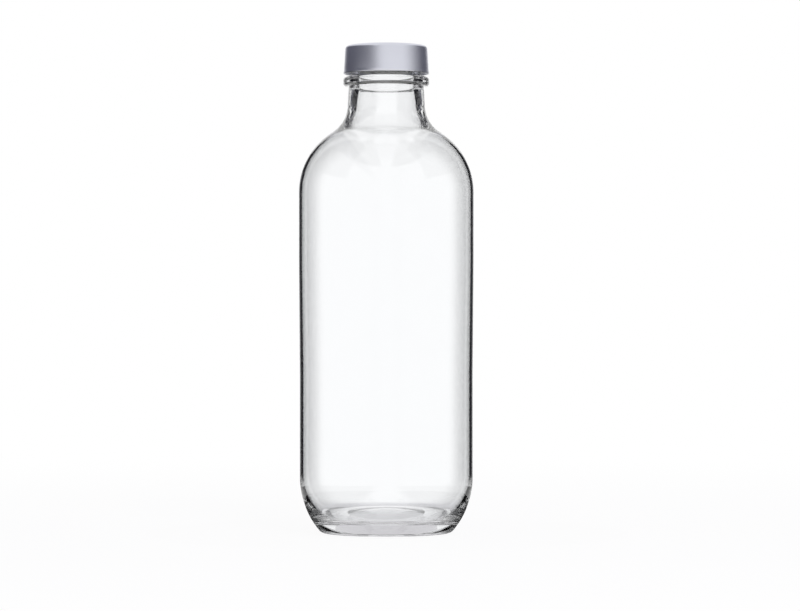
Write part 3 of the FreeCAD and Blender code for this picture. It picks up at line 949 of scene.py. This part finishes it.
def make_cards(settings):
    """The dark cards on both sides, which draw the edges of the glass and of the cap.

    Cards that overlap hang a millimetre apart, because a ray meets only one in each plane.
    """
    level, top_level, any_number = settings.flag_level, settings.top_level, 99
    near, behind = (-30, -8), (-70, -65)
    cards = []
    for side, end in ((-1, "left"), (1, "right")):
        first, second, third, fourth = [
            side * (settings.flag_distance + step * MM) for step in range(4)
        ]
        top_front = (-300, -20) if side < 0 else (-65, 15)
        cards += [
            make_card(f"{end}_near_card", first, settings, level, heights=(0, 208), front=near,
                      back=(40, 130), surfaces=(0, 2), gap=(0, 6, 14, 27)),
            make_card(f"{end}_far_card", second, settings, level, heights=(0, 190),
                      front=(33, 79), back=(168, 170), surfaces=(3, any_number)),
            make_card(f"{end}_neck_card", first, settings, level, heights=(208, 232), front=near,
                      back=(68, 70), surfaces=(0, 0)),
            make_card(f"{end}_shoulder_card", third, settings, level, heights=(190, 250),
                      front=behind, back=(238, 240), surfaces=(1, any_number)),
            make_card(f"{end}_throat_card", third, settings, level, heights=(250, 300),
                      front=behind, back=(68, 70), surfaces=(1, any_number)),
            make_card(f"{end}_sweep_card", fourth, settings, top_level, heights=(250, 285),
                      front=behind, back=(298, 300), surfaces=(1, 2)),
            make_card(f"{end}_crown_card", fourth, settings, level, heights=(285, 330),
                      front=behind, back=(298, 300), surfaces=(1, 2)),
            make_card(f"{end}_top_card", first, settings, top_level, heights=(232, 275),
                      front=top_front, back=(68, 70), surfaces=(0, 0)),
        ]
    return cards


def make_back_card(settings):
    """A pale card standing behind the foot, met where the thick base mirrors the backdrop."""
    away, width, height = 300 * MM, 520 * MM, 220 * MM
    card = add_plane("back_card", FACING_FRONT, (width, 1, height), (0, away, height / 2))
    bpy.ops.object.mode_set(mode="OBJECT")
    shader = own_material(card, "back_card")
    mirrored, passed = shader.light_path("Glossy Depth", "Transmission Depth")
    met = mirrored.above(0.5) * passed.counts(2, 2)
    glow_where(shader, met, settings.back_tint, settings.back_level)
    hide_from_view(card)
    return card


def make_floor_flag(settings):
    """A disc round the foot, dark at the sides, met only by rays that a surface has mirrored."""
    over_floor, dark_from, dark_to = (0, 0, -0.02 * MM), 20 * MM, 32 * MM
    bpy.ops.object.select_all(action="DESELECT")
    bpy.ops.mesh.primitive_circle_add(
        vertices=96, radius=settings.foot_flag, fill_type="NGON", location=over_floor
    )
    bpy.ops.object.transform_apply(location=True)
    flag = start_edit("foot_card")
    bpy.ops.mesh.select_all(action="SELECT")
    bpy.ops.mesh.inset(thickness=settings.foot_flag * 0.2)
    bpy.ops.object.mode_set(mode="OBJECT")
    shader = own_material(flag, "foot_card")
    mirrored = shader.light_path("Glossy Depth")[0]
    x = shader.axes(shader.place())[0]
    met = mirrored.above(0.5) * x.size().ramp(dark_from, dark_to)
    glow_where(shader, met, (1, 1, 1), settings.foot_level)
    hide_from_view(flag)
    return flag


def make_world(settings):
    """White to the rays that see the background, and a plain light to the rest."""
    world = bpy.data.worlds.new("white_studio")
    bpy.context.scene.world = world
    shader = Shader(world)
    seen = bright_rays(shader)
    strength = seen + (1.0 - seen) * settings.fill
    background = shader.node(
        "ShaderNodeBackground", None, {"Color": (1, 1, 1, 1), "Strength": strength}
    )
    shader.node("ShaderNodeOutputWorld", None, {"Surface": background})


def aim(thing, target):
    """Turns the lamp or the camera towards a point."""
    thing.rotation_euler = (target - thing.location).to_track_quat("-Z", "Y").to_euler()


def make_lamp(settings):
    """One soft lamp on the right, which matt surfaces take light from and glass doesn't mirror."""
    bpy.ops.object.light_add(type="AREA", location=(0.5, -1.2, 0.9))
    lamp = bpy.context.object
    lamp.name = "soft_key"
    lamp.data.shape = "RECTANGLE"
    lamp.data.size = 0.5
    lamp.data.size_y = 0.8
    lamp.data.energy = settings.key
    lamp.visible_glossy = False
    lamp.visible_transmission = False
    aim(lamp, Vector((0, 0, 0.15)))


def make_camera():
    """The camera, far off at under half the bottle's height, with the bottle left of its middle."""
    aside, away, eye_height, aim_height = 6.85 * MM, 1492 * MM, 104.5 * MM, 113.4 * MM
    bpy.ops.object.camera_add(location=(aside, -away, eye_height))
    camera = bpy.context.object
    camera.data.lens = 134.3
    aim(camera, Vector((aside, 0, aim_height)))
    bpy.context.scene.camera = camera


class BOTTLE_OT_studio(Operator):
    """Lay the pale floor, hang the cards and set the lamp and the camera"""

    bl_idname = "bottle.studio"
    bl_label = "Studio"

    def execute(self, context):
        settings = context.scene.bottle_studio
        make_camera()
        make_world(settings)
        make_floor(settings)
        make_floor_flag(settings)
        make_cards(settings)
        make_back_card(settings)
        make_lamp(settings)
        context.scene.view_settings.view_transform = "Standard"

        # Light crosses the glass many times before it leaves the base or the neck.
        many = 32
        light_paths = context.scene.cycles
        light_paths.max_bounces = many
        light_paths.glossy_bounces = many
        light_paths.transmission_bounces = many
        return {"FINISHED"}


class BOTTLE_PT_panel(Panel):
    bl_label = "Bottle"
    bl_idname = "BOTTLE_PT_panel"
    bl_space_type = "VIEW_3D"
    bl_region_type = "UI"
    bl_category = "Bottle"

    def draw(self, context):
        for group, settings in SETTINGS.items():
            box = self.layout.box()
            for key in settings.__annotations__:
                box.prop(getattr(context.scene, group), key)
        for step in STEPS:
            self.layout.operator(step.bl_idname)


STEPS = (BOTTLE_OT_glass, BOTTLE_OT_liner, BOTTLE_OT_insert, BOTTLE_OT_shell, BOTTLE_OT_studio)
CLASSES = (*SETTINGS.values(), *STEPS, BOTTLE_PT_panel)


def register():
    for item in CLASSES:
        bpy.utils.register_class(item)
    for name, settings in SETTINGS.items():
        setattr(bpy.types.Scene, name, PointerProperty(type=settings))


def unregister():
    for name in SETTINGS:
        delattr(bpy.types.Scene, name)
    for item in reversed(CLASSES):
        bpy.utils.unregister_class(item)


def main():
    register()
    bpy.ops.bottle.glass()
    bpy.ops.bottle.liner()
    bpy.ops.bottle.insert()
    bpy.ops.bottle.shell()
    bpy.ops.bottle.studio()


if __name__ == "__main__":
    main()
